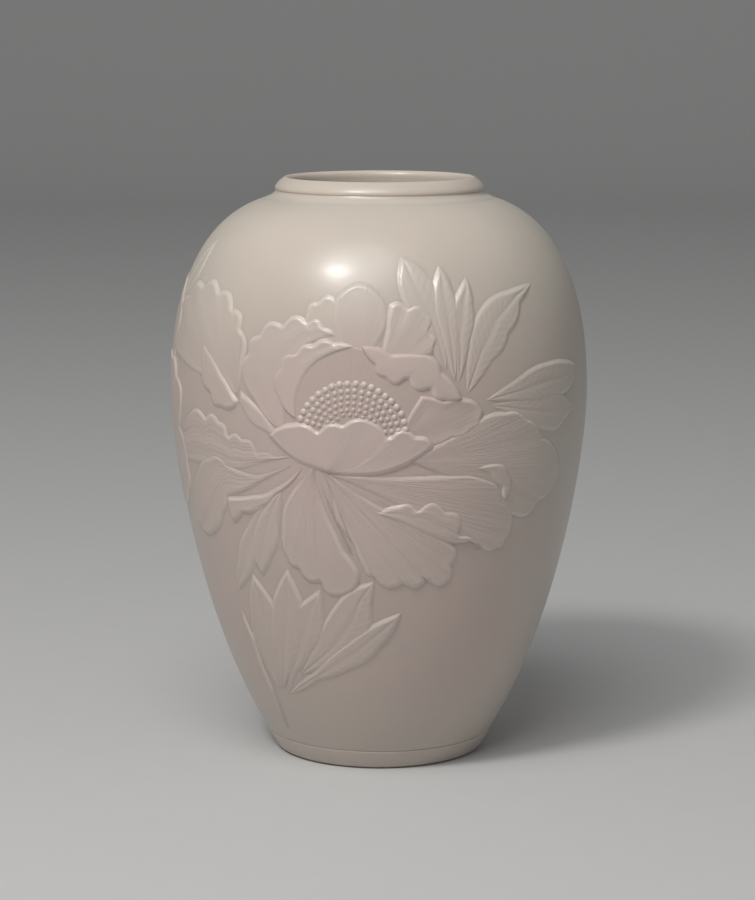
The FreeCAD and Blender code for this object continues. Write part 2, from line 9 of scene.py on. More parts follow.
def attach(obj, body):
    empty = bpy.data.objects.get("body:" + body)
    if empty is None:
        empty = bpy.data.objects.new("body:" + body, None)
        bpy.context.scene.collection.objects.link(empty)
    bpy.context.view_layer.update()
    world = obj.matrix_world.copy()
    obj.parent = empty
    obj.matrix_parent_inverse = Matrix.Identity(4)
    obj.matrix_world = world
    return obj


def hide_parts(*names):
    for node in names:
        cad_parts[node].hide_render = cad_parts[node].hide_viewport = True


# A meiping vase of glazed porcelain with a peony spray laid on in thin clay.
# The scene is in metres. The tables and sizes below are in millimetres, as a potter
# measures, and MM turns one into the other.

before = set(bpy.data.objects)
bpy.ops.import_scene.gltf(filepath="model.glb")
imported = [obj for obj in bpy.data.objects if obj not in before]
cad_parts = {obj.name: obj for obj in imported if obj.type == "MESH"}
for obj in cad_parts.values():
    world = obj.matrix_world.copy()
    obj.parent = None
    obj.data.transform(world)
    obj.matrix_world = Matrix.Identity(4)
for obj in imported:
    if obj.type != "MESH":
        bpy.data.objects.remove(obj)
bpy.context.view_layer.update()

MM = 0.001

# The wall's curves, each as start, two poles and end, in radius and height: outside from the
# foot to the neck, and inside from the neck down to the floor

BELLY_RADIUS = 89.9
BELLY_INSIDE = 85.4
BELLY_HEIGHT = 159.0
LOWER_CURVE = [(49.5, 9.0), (77.376, 55.5), (BELLY_RADIUS, 128.25), (BELLY_RADIUS, BELLY_HEIGHT)]
UPPER_CURVE = [(BELLY_RADIUS, BELLY_HEIGHT), (BELLY_RADIUS, 232.39), (53.2, 239.1), (49.4, 241.0)]
INNER_UPPER_CURVE = [(38.5, 235.0), (52.52, 231.97), (BELLY_INSIDE, 227.89),
                     (BELLY_INSIDE, BELLY_HEIGHT)]
INNER_LOWER_CURVE = [(BELLY_INSIDE, BELLY_HEIGHT), (BELLY_INSIDE, 128.25), (72.876, 55.5),
                     (45.5, 12.0)]

# The mouth's curves, in the same way: the hollow cove, the rolled lip, and down into the bore

COVE_CURVE = [(49.7, 240.75), (47.8, 241.9), (45.5, 242.2), (44.5, 244.4)]
LIP_CURVE = [(44.5, 244.4), (46.1, 245.6), (42.7, 248.9), (40.6, 250)]
LIP_INSIDE_CURVE = [(40.6, 250), (39.4, 250), (38.5, 248.9), (38.5, 247)]

# The other corners of the sections. The foot's corners that are softened are counted from
# the foot's inside edge, and softened by so many millimetres.

BORE_RADIUS = 38.5
NECK_TOP = 241
MOUTH_BOTTOM = 240.75
FLOOR_TOP = 12
FLOOR_UNDERSIDE = 5
RECESS_RADIUS = 38
FOOT_TOP = 9
FOOT_CORNERS = [(43.5, 0), (45.5, 1.2), (49.5, 8.5), (49.1, FOOT_TOP)]
FOOT_SOFTENED = (0, 1, 2, 3, 4)
FOOT_SOFTENING = 0.35

# How finely each curve is divided, and the angle in degrees past which a corner stays crisp

CURVE_STEPS = 72
COVE_STEPS = 16
LIP_STEPS = 24
LIP_INSIDE_STEPS = 14
TABLE_STEPS = 1500
TURN_STEPS = 256
SOFTENED_STEPS = 4
CRISP_ANGLE = 35

# Points closer than this, in millimetres, become one

WELD = 0.002


def curve_points(poles, steps):
    """Points of a cubic curve, as (radius, height) in millimetres."""
    knots = [Vector((across, up, 0)) for across, up in poles]
    points = geometry.interpolate_bezier(*knots, steps + 1)
    return [(point.x, point.y) for point in points]


def wall_table():
    """Heights and radii of the whole outer wall, from the foot up."""
    points = curve_points(LOWER_CURVE, TABLE_STEPS) + curve_points(UPPER_CURVE, TABLE_STEPS)[1:]
    return [up for across, up in points], [across for across, up in points]


WALL_HEIGHTS, WALL_RADII = wall_table()


def wall_radius(up):
    """The outer wall's radius at a height."""
    spot = min(max(bisect.bisect(WALL_HEIGHTS, up), 1), len(WALL_HEIGHTS) - 1)
    low, high = WALL_HEIGHTS[spot - 1], WALL_HEIGHTS[spot]
    share = min(max((up - low) / (high - low), 0), 1)
    return WALL_RADII[spot - 1] + (WALL_RADII[spot] - WALL_RADII[spot - 1]) * share


# Making and keeping a piece


def new_piece(name, mesh, finish, slot, nodes):
    """Turn a finished mesh into a piece that rides on the vase and stands for its nodes."""
    data = bpy.data.meshes.new(name)
    mesh.to_mesh(data)
    mesh.free()
    data.materials.append(finish)
    data.shade_smooth()
    piece = bpy.data.objects.new(name, data)
    bpy.context.collection.objects.link(piece)
    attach(piece, "root")
    if nodes:
        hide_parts(*nodes)
    return piece


def thrown(section, soften=(), width=0):
    """Turn a closed section about the vase's axis; soften lists the section's corners
    that are rounded by the width."""
    mesh = bmesh.new()
    spots = [mesh.verts.new((across * MM, 0, up * MM)) for across, up in section]
    for n, spot in enumerate(spots):
        mesh.edges.new((spots[n - 1], spot))
    if soften:
        bmesh.ops.bevel(mesh, geom=[spots[n] for n in soften], offset=width * MM,
                        segments=SOFTENED_STEPS, profile=0.5, affect="VERTICES", material=-1)
    ring = mesh.verts[:] + mesh.edges[:]
    bmesh.ops.spin(mesh, geom=ring, cent=(0, 0, 0), axis=(0, 0, 1), angle=2 * math.pi,
                   steps=TURN_STEPS, use_merge=True)
    bmesh.ops.remove_doubles(mesh, verts=mesh.verts[:], dist=WELD * MM)
    loose = [edge for edge in mesh.edges if not edge.link_faces]
    bmesh.ops.delete(mesh, geom=loose, context="EDGES")
    bmesh.ops.recalc_face_normals(mesh, faces=mesh.faces[:])
    return mesh


def body_section():
    """The wall's section from the foot up the outside and back down the inside."""
    outside = curve_points(LOWER_CURVE, CURVE_STEPS)
    outside += curve_points(UPPER_CURVE, CURVE_STEPS)[1:]
    inside = curve_points(INNER_UPPER_CURVE, CURVE_STEPS)
    inside += curve_points(INNER_LOWER_CURVE, CURVE_STEPS)[1:]
    underside = [(0, FLOOR_UNDERSIDE), (RECESS_RADIUS, FLOOR_UNDERSIDE), (RECESS_RADIUS, FOOT_TOP)]
    return underside + outside + [(BORE_RADIUS, NECK_TOP)] + inside + [(0, FLOOR_TOP)]


def foot_section():
    """The foot ring, with the incised line where the wall starts."""
    return [(RECESS_RADIUS, 0)] + FOOT_CORNERS + [(RECESS_RADIUS, FOOT_TOP)]


def mouth_section():
    """The rolled lip on its low neck, over the hollow cove at the shoulder."""
    cove = curve_points(COVE_CURVE, COVE_STEPS)
    lip = curve_points(LIP_CURVE, LIP_STEPS)
    inside = curve_points(LIP_INSIDE_CURVE, LIP_INSIDE_STEPS)
    return [(BORE_RADIUS, MOUTH_BOTTOM)] + cove + lip[1:] + inside[1:]


# The relief. An outline's points run clockwise: how far each lies across and up from the
# flower's centre, as shares of the flower's size, and how far the side that follows it
# bows out, as a share of that side. A fan spreads from its first point; a strip runs from
# its first point to its tip, whose number is given. The flower's centre lies so many
# degrees round and so many millimetres up.

FLOWER_TURN = -8.0
FLOWER_HEIGHT = 137.0
FLOWER_SIZE = 60.0

OUTLINES = {
    "curled_petal": ("strip", 4, [
        (0.08, 0.85, 0.08), (0.29, 0.81, 0.02), (0.52, 0.81, 0.14), (0.65, 0.67, 0.08),
        (0.8, 0.47, 0.15), (0.65, 0.45, 0.22), (0.54, 0.53, 0.25), (0.39, 0.6, 0.28),
        (0.24, 0.61, 0.22), (0.16, 0.71, 0.1)]),
    "cup_petal": ("fan", 0, [
        (-0.16, -0.03, 0.1), (-0.6, 0.21, 0.12), (-0.39, 0.32, 0.15), (-0.21, 0.28, 0.2),
        (-0.04, 0.33, 0.16), (0.16, 0.36, 0.12), (0.27, 0.25, 0.28), (0.46, 0.25, 0.22),
        (0.6, 0.15, 0.13)]),
    "ribbon_petal": ("strip", 8, [
        (-0.16, 0, -0.01), (-0.05, -0.18, -0.03), (0.21, -0.27, 0.06), (0.34, -0.23, 0.24),
        (0.48, -0.26, 0.3), (0.69, -0.28, 0.25), (0.84, -0.4, 0.2), (0.82, -0.46, 0.12),
        (0.98, -0.53, 0.08), (0.68, -0.53, 0.03), (0.38, -0.4, 0.02), (0.09, -0.28, 0.02),
        (-0.1, -0.16, 0.02)]),
    "left_inner_petal": ("strip", 6, [
        (-0.35, 0.33, 0.12), (-0.52, 0.47, 0.22), (-0.51, 0.69, 0.26), (-0.39, 0.8, 0.24),
        (-0.26, 0.86, 0.22), (-0.1, 0.88, 0.15), (0.08, 0.82, -0.04), (-0.14, 0.75, -0.1),
        (-0.31, 0.58, -0.08)]),
    "right_cup_petal": ("fan", 0, [
        (0.27, 0.13, 0.04), (0.48, 0.53, 0.04), (0.65, 0.49, 0.08), (0.81, 0.49, 0.12),
        (0.93, 0.42, 0.22), (0.94, 0.33, 0.22), (0.86, 0.24, 0.14), (0.71, 0.19, 0.08),
        (0.56, 0.14, 0.03)]),
    "stamen_bed": ("fan", 0, [
        (0.03, 0.17, 0), (-0.31, 0.24, 0.04), (-0.33, 0.4, 0.1), (-0.21, 0.56, 0.1),
        (0.03, 0.62, 0.12), (0.25, 0.54, 0.12), (0.38, 0.27, 0.1)]),
    "left_middle_petal": ("strip", 8, [
        (-0.44, 0.22, 0.08), (-0.71, 0.43, 0.08), (-0.82, 0.58, 0.22), (-0.78, 0.76, 0.26),
        (-0.69, 0.9, 0.28), (-0.5, 0.98, 0.28), (-0.31, 1.01, 0.28), (-0.17, 0.98, 0.24),
        (-0.08, 0.88, -0.1), (-0.33, 0.79, -0.1), (-0.42, 0.52, -0.05)]),
    "left_outer_petal": ("strip", 3, [
        (-0.39, 0.11, 0.08), (-0.61, 0.22, 0.12), (-0.8, 0.36, 0.18), (-0.82, 0.52, 0),
        (-0.61, 0.38, 0)]),
    "heart_petal": ("fan", 0, [
        (0.01, 0.13, 0.02), (-0.43, 0.34, 0.08), (-0.43, 0.6, 0.1), (-0.25, 0.8, 0.1),
        (0.08, 0.86, 0.1), (0.36, 0.73, 0.08), (0.6, 0.56, 0.05), (0.5, 0.25, 0.02)]),
    "guard_left_fold": ("strip", 4, [
        (-0.32, 0.03, 0.1), (-0.54, -0.22, 0.12), (-0.67, -0.32, 0.12), (-0.86, -0.38, 0.05),
        (-0.98, -0.47, 0.08), (-1.03, -0.36, 0.12), (-1.02, -0.25, -0.03),
        (-0.75, -0.21, -0.08), (-0.56, -0.14, -0.05)]),
    "bottom_left_petal": ("fan", 0, [
        (-0.25, 0.03, -0.02), (-0.13, -0.37, 0.02), (-0.04, -0.57, 0.05), (0.07, -0.72, 0.24),
        (-0.1, -0.92, 0.26), (-0.26, -0.83, 0.24), (-0.43, -0.74, 0.16), (-0.52, -0.68, 0.1),
        (-0.55, -0.47, 0.05), (-0.5, -0.26, 0.05)]),
    "bottom_right_petal": ("fan", 0, [
        (-0.2, 0.01, 0), (0.22, -0.24, 0), (0.65, -0.46, 0.05), (0.81, -0.57, 0.14),
        (0.78, -0.7, 0.16), (0.77, -0.82, 0.26), (0.58, -0.81, 0.26), (0.39, -0.83, 0.26),
        (0.16, -0.78, 0.2), (0.08, -0.71, 0.04), (0.01, -0.54, 0), (-0.12, -0.38, -0.02)]),
    "guard_right_fold": ("strip", 6, [
        (0.47, -0.03, 0), (0.67, -0.06, -0.06), (0.88, 0, 0.06), (1.07, 0.03, 0.16),
        (1.19, -0.06, 0.14), (1.22, -0.19, 0.14), (1.14, -0.28, 0.1), (1.1, -0.17, 0.06),
        (0.99, -0.07, -0.1), (0.84, -0.04, -0.03), (0.67, -0.08, 0.03)]),
    "guard_left_low": ("strip", 5, [
        (-0.3, 0.06, 0), (-0.75, -0.19, 0.02), (-0.99, -0.28, 0.06), (-1.09, -0.42, 0.12),
        (-1.35, -0.61, 0.14), (-1.53, -0.54, 0.14), (-1.57, -0.38, 0.1), (-1.4, -0.14, 0.12),
        (-1.19, 0.01, 0.2), (-0.97, -0.02, -0.05), (-0.69, -0.06, -0.02)]),
    "guard_left_high": ("strip", 3, [
        (-0.28, 0.1, 0), (-0.85, -0.07, 0), (-1.53, -0.09, 0.08), (-1.6, 0.09, 0.1),
        (-1.41, 0.3, 0.2), (-1.19, 0.29, 0.26), (-1.03, 0.28, 0.26), (-0.94, 0.19, 0.26),
        (-0.81, 0.18, 0.26), (-0.68, 0.1, 0.1), (-0.54, 0.08, 0)]),
    "guard_right_low": ("fan", 0, [
        (-0.18, -0.03, 0), (0.48, -0.03, 0), (0.84, -0.03, 0.02), (1.06, -0.1, 0.1),
        (1.16, -0.26, 0.16), (1.28, -0.42, 0.14), (1.24, -0.55, 0.22), (1.15, -0.62, 0.22),
        (0.98, -0.57, 0.1), (0.56, -0.37, 0)]),
    "guard_right_high": ("fan", 0, [
        (0.37, 0.06, 0.02), (0.68, 0.23, 0.02), (0.94, 0.36, 0.06), (1.12, 0.38, 0.14),
        (1.31, 0.32, 0.12), (1.5, 0.16, 0.1), (1.73, -0.01, 0.14), (1.74, -0.19, 0.16),
        (1.53, -0.32, 0.16), (1.35, -0.42, 0.08), (1.02, -0.24, 0)]),
    "back_centre_petal": ("fan", 0, [
        (0.05, 0.66, 0.03), (-0.13, 0.97, 0.06), (-0.13, 1.16, 0.33), (0.25, 1.15, 0.1),
        (0.27, 0.95, 0.05)]),
    "back_right_petal": ("fan", 0, [
        (0.16, 0.61, 0), (0.24, 0.95, 0.05), (0.27, 1.12, 0.25), (0.41, 1.11, 0.3),
        (0.55, 1.07, 0.26), (0.58, 0.94, 0.26), (0.61, 0.83, 0.2), (0.54, 0.75, 0.05)]),
    "back_left_petal": ("fan", 0, [
        (-0.07, 0.66, 0.05), (-0.3, 0.93, 0.2), (-0.34, 1.05, 0.26), (-0.25, 1.14, 0.26),
        (-0.1, 1.16, 0.1), (0.01, 0.93, 0)]),
    "top_leaf_centre": ("strip", 3, [
        (0.73, 0.58, 0.04), (0.61, 0.94, 0.07), (0.59, 1.22, 0.05), (0.68, 1.38, 0.1),
        (0.78, 1.2, 0.07), (0.8, 0.97, 0.05)]),
    "top_leaf_left": ("strip", 3, [
        (0.67, 0.65, 0.04), (0.42, 1.02, 0.06), (0.33, 1.23, 0.05), (0.37, 1.44, 0.1),
        (0.6, 1.3, 0.07), (0.73, 1.05, 0.04)]),
    "top_leaf_right": ("strip", 3, [
        (0.75, 0.56, 0), (0.67, 0.93, 0.04), (0.74, 1.14, 0.02), (0.89, 1.3, 0.1),
        (0.93, 1.09, 0.08), (0.88, 0.86, 0.05)]),
    "upper_right_leaf": ("strip", 4, [
        (0.81, 0.49, 0.04), (0.82, 0.8, 0.06), (0.9, 1.02, 0.12), (1.23, 1.19, 0.03),
        (1.57, 1.22, 0), (1.35, 1.07, 0.1), (1.2, 0.88, 0.1), (1.05, 0.71, 0.03)]),
    "right_leaf_low": ("strip", 3, [
        (0.97, 0.42, 0.02), (1.32, 0.47, 0.04), (1.62, 0.47, 0.06), (1.91, 0.34, 0.16),
        (1.77, 0.23, 0.14), (1.57, 0.17, 0.05), (1.23, 0.28, 0)]),
    "right_leaf_high": ("strip", 3, [
        (0.94, 0.45, 0.02), (1.27, 0.62, 0.06), (1.54, 0.68, 0.06), (1.95, 0.63, 0.12),
        (1.9, 0.47, 0.1), (1.62, 0.41, 0.04), (1.23, 0.4, 0)]),
    "small_leaf_right": ("strip", 3, [
        (-0.5, -0.16, 0.05), (-0.54, -0.43, 0.08), (-0.63, -0.67, 0.03), (-0.77, -0.84, 0.05),
        (-0.85, -0.68, 0.06), (-0.78, -0.44, 0.08)]),
    "small_leaf_left": ("strip", 3, [
        (-0.61, -0.24, 0.03), (-0.71, -0.54, 0.03), (-0.85, -0.79, 0.06), (-1.11, -0.99, 0.1),
        (-1.03, -0.72, 0.08), (-0.86, -0.45, 0.08)]),
    "low_leaf_centre": ("strip", 3, [
        (-0.86, -1.7, 0), (-0.85, -1.3, 0.03), (-0.72, -0.97, 0.03), (-0.52, -0.71, 0.03),
        (-0.41, -0.95, 0.06), (-0.44, -1.26, 0.05)]),
    "low_leaf_left": ("strip", 3, [
        (-0.87, -1.72, 0.08), (-1.06, -1.44, 0.06), (-1.03, -1.12, 0.04), (-0.88, -0.79, 0.05),
        (-0.69, -1.0, 0.04), (-0.66, -1.28, 0)]),
    "low_leaf_right": ("strip", 3, [
        (-0.87, -1.8, 0), (-0.62, -1.28, 0.02), (-0.5, -1.0, 0), (-0.25, -0.84, 0.04),
        (-0.24, -1.1, 0.1), (-0.38, -1.35, 0.05), (-0.59, -1.54, 0)]),
    "far_leaf_lower": ("strip", 4, [
        (-0.81, -1.73, 0.05), (-0.44, -1.5, 0.03), (-0.08, -1.24, 0.02), (0.17, -1.09, 0.03),
        (0.41, -1.01, 0.07), (0.24, -1.29, 0.08), (-0.05, -1.48, 0.04), (-0.38, -1.59, 0.05)]),
    "far_leaf_upper": ("strip", 3, [
        (-0.6, -1.56, 0), (-0.34, -1.2, 0.03), (-0.1, -0.9, 0.08), (0.18, -0.78, 0.04),
        (0.17, -0.97, 0.02), (0.16, -1.2, 0.04), (-0.08, -1.42, 0)]),
    "main_stem": ("strip", 3, [
        (-1.02, -2.04, 0), (-1.06, -1.72, 0.02), (-1.09, -1.33, 0.02), (-1.12, -1.07, 0),
        (-1.03, -1.32, -0.02), (-0.99, -1.71, 0)]),
    "side_petal_lower": ("strip", 2, [
        (-1.23, 0.78, 0.08), (-0.99, 0.61, 0.04), (-0.82, 0.42, 0.22), (-1.01, 0.35, 0.26),
        (-1.14, 0.44, 0.2), (-1.26, 0.61, 0.12)]),
    "side_petal_cup": ("fan", 0, [
        (-1.86, 0, 0.05), (-2.2, 0.18, 0.18), (-2.3, 0.42, 0.26), (-2.12, 0.6, 0.26),
        (-1.88, 0.64, 0.26), (-1.68, 0.52, 0.26), (-1.56, 0.3, 0.12)]),
    "side_petal_upper": ("fan", 0, [
        (-0.84, 0.46, 0), (-1.42, 0.58, 0), (-1.8, 0.66, 0.12), (-1.84, 0.92, 0.22),
        (-1.66, 1.1, 0.26), (-1.42, 1.18, 0.26), (-1.16, 1.16, 0.26), (-0.96, 1.06, 0.26),
        (-0.84, 0.92, 0.2), (-0.79, 0.7, 0.05)]),
    "side_petal_back": ("fan", 0, [
        (-1.95, 0.3, 0), (-2.42, 0.42, 0.12), (-2.62, 0.66, 0.26), (-2.6, 0.92, 0.26),
        (-2.4, 1.12, 0.26), (-2.12, 1.18, 0.26), (-1.86, 1.08, 0.2), (-1.72, 0.82, 0.04)]),
    "side_petal_low": ("fan", 0, [
        (-1.86, 0.3, 0), (-1.6, 0.12, 0.1), (-1.54, -0.12, 0.24), (-1.66, -0.34, 0.26),
        (-1.9, -0.44, 0.26), (-2.16, -0.36, 0.26), (-2.38, -0.16, 0.24), (-2.44, 0.1, 0.08)]),
    "side_leaf": ("strip", 2, [
        (-1.82, 1.02, 0.06), (-1.92, 1.24, 0.05), (-1.6, 1.5, 0.1), (-1.58, 1.2, 0.05)]),
}

# How each piece is modelled: the clay over the wall at its root and at its tip, how deep
# the dish inside its rim is, how far its middle swells, and how strong its ruffles are

FORMS = {
    "curled_petal": (1.5, 1.6, 0.0, 0.7, 0.15),
    "cup_petal": (0.9, 1.6, 0.1, 0.75, 0.2),
    "ribbon_petal": (0.5, 1.5, 0.1, 0.35, 0.25),
    "left_inner_petal": (1.1, 1.5, 0.1, 0.15, 0.2),
    "right_cup_petal": (0.7, 1.6, 0.5, 0.0, 0.15),
    "stamen_bed": (0.6, 0.6, 0.0, 0.1, 0.0),
    "left_middle_petal": (0.5, 1.0, 0.15, 0.1, 0.2),
    "left_outer_petal": (0.5, 0.9, 0.1, 0.1, 0.1),
    "heart_petal": (0.3, 0.55, 0.1, 0.0, 0.1),
    "guard_left_fold": (0.5, 1.4, 0.1, 0.3, 0.15),
    "bottom_left_petal": (0.25, 1.15, 0.15, 0.2, 0.35),
    "bottom_right_petal": (0.15, 0.9, 0.15, 0.15, 0.35),
    "guard_right_fold": (1.2, 1.6, 0.0, 0.35, 0.1),
    "guard_left_low": (0.35, 1.15, 0.15, 0.15, 0.3),
    "guard_left_high": (0.2, 0.75, 0.1, 0.15, 0.3),
    "guard_right_low": (0.3, 1.1, 0.1, 0.15, 0.35),
    "guard_right_high": (0.3, 1.0, 0.1, 0.15, 0.4),
    "back_centre_petal": (0.1, 1.0, 0.1, 0.1, 0.1),
    "back_right_petal": (0.3, 1.1, 0.1, 0.0, 0.35),
    "back_left_petal": (0.1, 0.5, 0.1, 0.0, 0.15),
    "side_petal_lower": (0.9, 1.3, 0.1, 0.3, 0.15),
    "side_petal_cup": (0.4, 0.8, 0.1, 0.15, 0.2),
    "side_petal_upper": (0.4, 0.9, 0.15, 0.1, 0.35),
    "side_petal_back": (0.3, 0.6, 0.1, 0.1, 0.25),
    "side_petal_low": (0.3, 0.45, 0.0, 0.1, 0.2),
    "main_stem": (1.0, 1.0, 0.0, 0.5, 0.0),
    "side_leaf": (0.15, 0.5, 0.0, 0.1, 0.05),
}
LEAF_FORM = (0.15, 0.85, 0.0, 0.2, 0.12)

# Where leaves overlap, how much more clay lies under the upper ones

LEAF_LIFTS = {
    "top_leaf_centre": 0.3, "top_leaf_right": 0.15, "low_leaf_centre": 0.3,
    "low_leaf_right": 0.15, "far_leaf_lower": 0.2, "small_leaf_right": 0.25,
    "right_leaf_high": 0.2,
}

# Deep in the flower the glaze pools and darkens, by this much of the tone; the darkening is
# also painted shade in the flower's hollow

POOLED_AND_SHADE = {"heart_petal": 0.4, "stamen_bed": 0.4, "right_cup_petal": 0.2}

# How much lower a piece's left side lies than its right

TILTS = {"right_cup_petal": 1.0}

# The clay's edge: how wide its slope is, at most as a share of the piece's width and less
# near the root, how far its foot drops under the wall, and the low rim behind the slope

EDGE_WIDTH = 2.8
NARROW_EDGE = 0.32
ROOT_EDGE = 0.3
ROOT_EDGE_GROWTH = 2.5
EDGE_DROP = 0.15
RIM_RISE = 0.07
RIM_PLACE = 2.0
RIM_WIDTH = 1.0

# The clay's surface: all heights' share, the dish's start and end from the edge, how the
# folds and the hand's unevenness run across and along a piece, the bow of a full lobe, the
# share of a fan's length where it is fully risen, and where along a piece its rim begins

RELIEF = 0.8
DISH_START = 1.2
DISH_END = 6
FOLD_SHARE = 0.5
FOLD_TURNS = 2.6
SWAY_ACROSS = 2.2
SWAY_ALONG = 1.6
SEED_STEP = 7.3
FULL_LOBE = 0.2
FAN_RISE = 0.75
PAST_ROOT = (0.05, 0.6)

# A leaf's crown, its midrib, and its side veins, which slope forwards and deepen over the
# first millimetres from the midrib

LEAF_CROWN = 0.1
RIB_DEPTH = 0.22
RIB_WIDTH = 0.6
VEIN_DEPTH = 0.1
VEIN_WIDTH = 0.13
VEIN_GAP = 4.2
VEIN_SLOPE = 1.2
VEIN_STARTS = (0.3, 1.5)

# The tone that the glaze reads: its middle, how far it rises where the glaze thins on the
# edge's slope and a highlight is painted there, and that place and its width, as shares of the
# slope

MIDDLE_TONE = 0.5
THIN_GLAZE_AND_HIGHLIGHT_TONE = 0.5
THIN_GLAZE_AND_HIGHLIGHT_PLACE = 0.65
THIN_GLAZE_AND_HIGHLIGHT_WIDTH = 0.3

# The skin: how far it is sunk in the wall, the size of its cells, the fewest and the most
# rows and columns, and how many points each side of an outline is measured by

SUNK = 0.9
CELL_LENGTH = 0.5
CELL_WIDTH = 0.45
ROW_LIMITS = (40, 100)
COLUMN_LIMITS = (12, 130)
EDGE_POINTS = 90


def smooth(low, high, value):
    """0 up to low, 1 from high on, and a soft step between."""
    share = min(max((value - low) / (high - low), 0), 1)
    return share * share * (3 - 2 * share)


def whole_within(value, low, high):
    """A whole number of cells, kept within limits."""
    return int(min(max(value, low), high))


class Side:
    """One bowed side of an outline, from one point to the next."""

    def __init__(self, start, end, bow):
        self.start, self.end, self.bow = start, end, bow
        across, up = end[0] - start[0], end[1] - start[1]
        self.length = math.hypot(across, up)
        self.out = (-up * bow, across * bow)

    def at(self, share):
        """The point that is a share of the way along."""
        lift = 4 * share * (1 - share)
        return (self.start[0] + (self.end[0] - self.start[0]) * share + self.out[0] * lift,
                self.start[1] + (self.end[1] - self.start[1]) * share + self.out[1] * lift)


class Chain:
    """Sides in a row, walked by a share of their whole length."""

    def __init__(self, sides):
        self.sides = sides
        self.total = sum(side.length for side in sides)
        before = [sum(side.length for side in sides[:n]) for n in range(len(sides))]
        self.starts = [length / self.total for length in before]

    def find(self, share):
        """The side that holds a share of the way, and the share along that side."""
        n = max(bisect.bisect(self.starts, share) - 1, 0)
        return self.sides[n], (share - self.starts[n]) * self.total / self.sides[n].length

    def at(self, share):
        """The point that is a share of the whole way along."""
        side, part = self.find(min(max(share, 0), 1))
        return side.at(min(part, 1))

    def wave(self, share):
        """1 at the crest of a full lobe and 0 at a notch."""
        side, part = self.find(min(max(share, 0), 1))
        return math.sin(math.pi * part) ** 2 * min(max(side.bow, 0) / FULL_LOBE, 1)


class Outline:
    """The plan of a relief piece, seen square on from in front of its place."""

    def __init__(self, name):
        self.kind, tip, rows = OUTLINES[name]
        self.seed = SEED_STEP * list(OUTLINES).index(name)
        lift = LEAF_LIFTS.get(name, 0)
        self.root, self.tip, self.dish, self.swell, self.ruffle = FORMS.get(name, LEAF_FORM)
        self.root, self.tip = self.root + lift, self.tip + lift
        self.tilt = TILTS.get(name, 0)
        self.facing = sum(row[0] for row in rows) / len(rows) * FLOWER_SIZE / BELLY_RADIUS
        points = [self.flatten(across, rise) for across, rise, bow in rows]
        ends = points[1:] + points[:1]
        sides = [Side(a, b, row[2]) for a, b, row in zip(points, ends, rows)]
        if self.kind == "fan":
            self.flanks = (sides[0], sides[-1])
            self.edge = Chain(sides[1:-1])
            self.length = max(math.dist(points[0], point) for point in points)
            self.width = self.edge.total
        else:
            back = [Side(side.end, side.start, -side.bow) for side in reversed(sides[tip:])]
            self.left, self.right = Chain(sides[:tip]), Chain(back)
            self.length = self.left.total
            self.width = math.dist(self.left.at(0.5), self.right.at(0.5))
        self.tree = self.trace(sides)

    def flatten(self, across, rise):
        """A point of the table, square on: millimetres across and height."""
        level = FLOWER_HEIGHT + rise * FLOWER_SIZE
        angle = across * FLOWER_SIZE / BELLY_RADIUS - self.facing
        return wall_radius(level) * math.sin(angle), level

    def trace(self, sides):
        """Keep the edge as points, so that a spot's distance to it can be asked."""
        spots = [side.at(n / EDGE_POINTS) for side in sides for n in range(EDGE_POINTS)]
        tree = KDTree(len(spots))
        for n, (across, level) in enumerate(spots):
            tree.insert((across, level, 0), n)
        tree.balance()
        return tree

    def spot(self, turn, along):
        """The spot that is a share across, from -1 to 1, and along, from 0 to 1."""
        share = (turn + 1) / 2
        if self.kind == "strip":
            left, right = self.left.at(along), self.right.at(along)
            return tuple(a + (b - a) * share for a, b in zip(left, right))
        start, end = self.flanks[0].start, self.edge.at(share)
        bow = 4 * along * (1 - along)
        outs = zip(self.flanks[0].out, self.flanks[1].out)
        sway = [(a + (b - a) * share) * bow for a, b in outs]
        return tuple(a + (b - a) * along + c for a, b, c in zip(start, end, sway))

    def edge_distance(self, spot):
        """Millimetres from a spot to the nearest edge."""
        return self.tree.find((spot[0], spot[1], 0))[2]

    def lobe_wave(self, turn, along):
        """How the lobes at the rim ruffle the clay behind them."""
        share = (turn + 1) / 2
        if self.kind == "fan":
            return self.edge.wave(share) * along ** 3
        left, right = self.left.wave(along), self.right.wave(along)
        return left * (1 - share) ** 2 + right * share ** 2

    def rise(self, spot, along):
        """How far from root to tip a spot's clay has risen; round the root on a fan."""
        if self.kind == "strip":
            return smooth(0, 1, along)
        return smooth(0, FAN_RISE, math.dist(self.flanks[0].start, spot) / self.length)

    def lean(self, spot, turn):
        """How far a spot lies from the middle to one side, from -1 to 1."""
        if self.kind == "strip":
            return turn
        root = self.flanks[0].start
        first, last, here = [math.atan2(up - root[1], across - root[0]) for across, up in
                             (self.flanks[0].end, self.flanks[1].start, spot)]
        half = (first - last) % (2 * math.pi) / 2
        aside = (here - first + half + math.pi) % (2 * math.pi) - math.pi
        return min(max(aside / half, -1), 1)

    def clay_height(self, turn, along, spot, distance):
        """How far the clay stands over the wall, before its edge falls away."""
        height = self.root + (self.tip - self.root) * self.rise(spot, along)
        lean = self.lean(spot, turn)
        height += self.swell * (1 - lean ** 2) - self.tilt * (1 - lean) ** 2 / 4
        height -= self.dish * smooth(DISH_START, DISH_END, distance)
        sway = noise.noise(Vector((turn * SWAY_ACROSS, along * SWAY_ALONG, self.seed)))
        fold = FOLD_SHARE * math.cos(turn * FOLD_TURNS * math.pi + self.seed) * along
        return RELIEF * (height + self.ruffle * (self.lobe_wave(turn, along) + sway + fold))

    def place(self, spot, height):
        """The spot's place on the wall, in metres."""
        radius = wall_radius(spot[1])
        angle = math.radians(FLOWER_TURN) + self.facing
        angle += math.asin(min(max(spot[0] / radius, -1), 1))
        reach = (radius + height) * MM
        return Vector((reach * math.sin(angle), -reach * math.cos(angle), spot[1] * MM))


